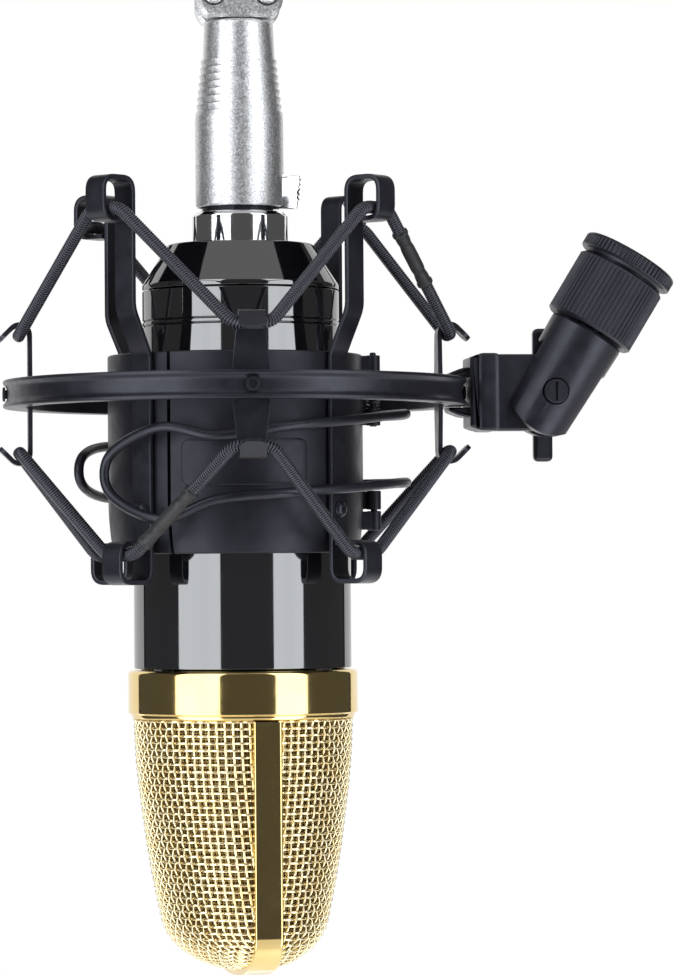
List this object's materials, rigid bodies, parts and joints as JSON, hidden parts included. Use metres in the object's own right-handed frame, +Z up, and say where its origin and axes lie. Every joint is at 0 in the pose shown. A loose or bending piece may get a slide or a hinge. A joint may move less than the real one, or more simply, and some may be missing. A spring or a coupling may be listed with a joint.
{
  "type": "condenser microphone",
  "caption": "Side-address condenser microphone with a gold wedge grille, hung upside down in a sprung clamp on elastic cords inside a ring with a tilting stand swivel.",
  "frame": {"origin": "centre of the stand thread's mouth, on the end face of the thread adapter", "axes": "+Z up along the microphone's axis as it hangs, +X from the microphone towards the swivel, -Y is the front with the label plate"},
  "size_m": [0.1374, 0.0956, 0.2012],
  "materials": {
    "gloss_black": "gloss",
    "satin_black": "satin powder coat",
    "black_plastic": "satin moulded",
    "elastic": "braided",
    "rubber": "matt",
    "gold": "polished plate",
    "gold_mesh": "woven wire, plated",
    "chrome": "polished",
    "satin_nickel": "satin cast",
    "contact_brass": "satin",
    "circuit_green": "solder mask"
  },
  "bodies": {
    "stand": {"thread_adapter": "satin_black", "swivel_collar": "satin_black"},
    "barrel": {"swivel_barrel": "satin_black", "swivel_screw": "satin_nickel", "pivot_bolt": "satin_black"},
    "wing_nut": {"wing_nut": "satin_black"},
    "ring": {"suspension_ring": "satin_black", "swivel_bracket": "satin_black", "bracket_clip": "satin_black", "ring_post_front": "satin_black", "ring_post_right": "satin_black", "ring_post_rear": "satin_black", "ring_post_left": "satin_black", "ring_screw_front": "satin_black", "ring_screw_right": "satin_black", "ring_screw_rear": "satin_black", "ring_screw_left": "satin_black"},
    "cage": {"rear_jaw": "black_plastic", "rear_jaw_pad": "rubber", "hinge_pin": "satin_black", "jaw_spring": "satin_black", "front_handle": "satin_black", "cage_leg_rear_right": "satin_black", "cage_leg_rear_left": "satin_black", "cage_leg_front_left": "satin_black", "leg_rivet_rear_right": "satin_nickel", "leg_rivet_rear_left": "satin_nickel", "leg_rivet_front_left": "satin_nickel", "elastic_cord_upper": "elastic", "elastic_cord_lower": "elastic", "cord_sleeve_upper": "rubber", "cord_sleeve_lower": "rubber"},
    "front_jaw": {"front_jaw": "black_plastic", "front_jaw_pad": "rubber", "label_plate": "black_plastic", "rear_handle": "satin_black", "cage_leg_front_right": "satin_black", "leg_rivet_front_right": "satin_nickel"},
    "microphone": {"body_tube": "gloss_black", "tail_sleeve": "gloss_black", "tail_cone": "gloss_black", "socket_ring": "chrome", "socket_insulator": "black_plastic", "contact_pin_1": "contact_brass", "contact_pin_2": "contact_brass", "contact_pin_3": "contact_brass", "grille_ring": "gold", "grille_band": "gold", "grille_mesh_left": "gold_mesh", "grille_mesh_right": "gold_mesh", "capsule": "contact_brass", "capsule_saddle": "rubber", "chassis": "satin_nickel", "circuit_board": "circuit_green"},
    "plug": {"plug_shell": "satin_nickel", "plug_insert": "black_plastic", "cable_clamp": "satin_nickel", "clamp_screw_left": "chrome", "clamp_screw_right": "chrome"},
    "latch": {"latch_tab": "chrome"}
  },
  "joints": [
    {"name": "swivel_spin", "type": "hinge", "parent": "stand", "child": "barrel", "pos_m": [0, 0, 0], "axis": [0.5195, 0, 0.8545], "continuous": true},
    {"name": "wing_nut_turn", "type": "hinge", "parent": "barrel", "child": "wing_nut", "pos_m": [-0.01683, 0, -0.02768], "axis": [0, 1, 0], "continuous": true},
    {"name": "ring_tilt", "type": "hinge", "parent": "barrel", "child": "ring", "pos_m": [-0.01683, 0, -0.02768], "axis": [0, 1, 0], "range_deg": [-150, 30]},
    {"name": "suspension_travel", "type": "slide", "parent": "ring", "child": "cage", "axis": [0, 0, 1], "range_m": [-0.004, 0.004], "stiffness_N_per_m": 1800, "springref_m": 0.00229, "deforming": ["elastic_cord_upper", "elastic_cord_lower", "cord_sleeve_upper", "cord_sleeve_lower"]},
    {"name": "jaw_open", "type": "hinge", "parent": "cage", "child": "front_jaw", "pos_m": [-0.05323, 0, -0.03943], "axis": [0, 0, 1], "range_deg": [0, 4], "stiffness_Nm_per_rad": 3, "springref_deg": -5.73},
    {"name": "microphone_slide", "type": "slide", "parent": "cage", "child": "microphone", "axis": [0, 0, 1], "range_m": [-0.125, 0.02]},
    {"name": "plug_withdraw", "type": "slide", "parent": "microphone", "child": "plug", "axis": [0, 0, 1], "range_m": [0, 0.025]},
    {"name": "latch_press", "type": "slide", "parent": "plug", "child": "latch", "axis": [-1, 0, 0], "range_m": [0, 0.0012], "stiffness_N_per_m": 1500}
  ]
}
